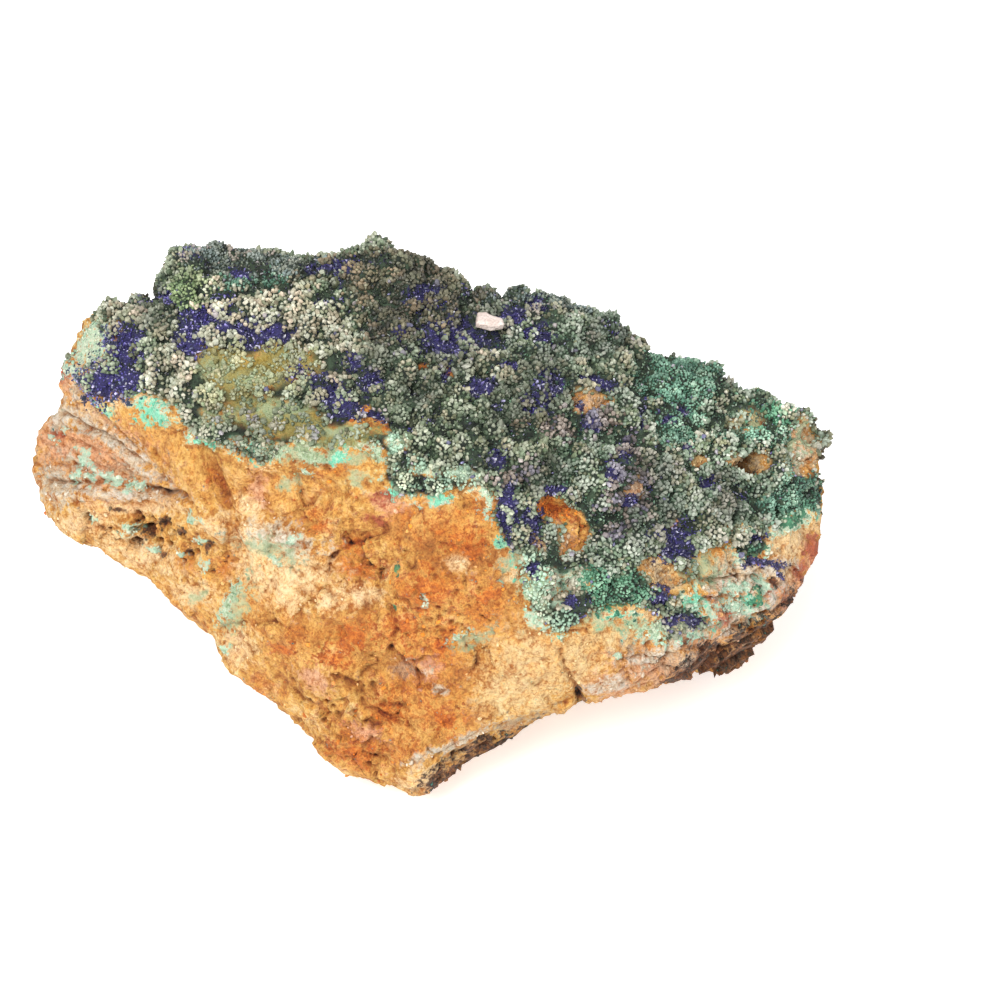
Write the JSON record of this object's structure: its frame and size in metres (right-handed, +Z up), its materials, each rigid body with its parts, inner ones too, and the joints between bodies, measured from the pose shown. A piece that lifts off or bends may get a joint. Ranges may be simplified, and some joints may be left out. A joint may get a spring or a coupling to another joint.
{
  "type": "malachite specimen",
  "caption": "Wedge-shaped block of rusty limonite rock with a lumpy green crust of malachite and blue azurite grown over its sloping upper face; stands on a flat foot.",
  "frame": {"origin": "middle of the rock's outline seen from above, on the surface that it stands on", "axes": "+X to the right along the rock's length, +Y towards the back, +Z up; the show side faces -Y and up"},
  "size_m": [0.1234, 0.0778, 0.0683],
  "materials": {
    "limonite": "dull, rough broken rock",
    "malachite": "dull to silky small rounded lumps",
    "azurite": "sparkling fine crystals",
    "pale_stone": "dull"
  },
  "bodies": {
    "root": {"malachite_specimen": "limonite", "pale_chip": "pale_stone"}
  },
  "joints": []
}
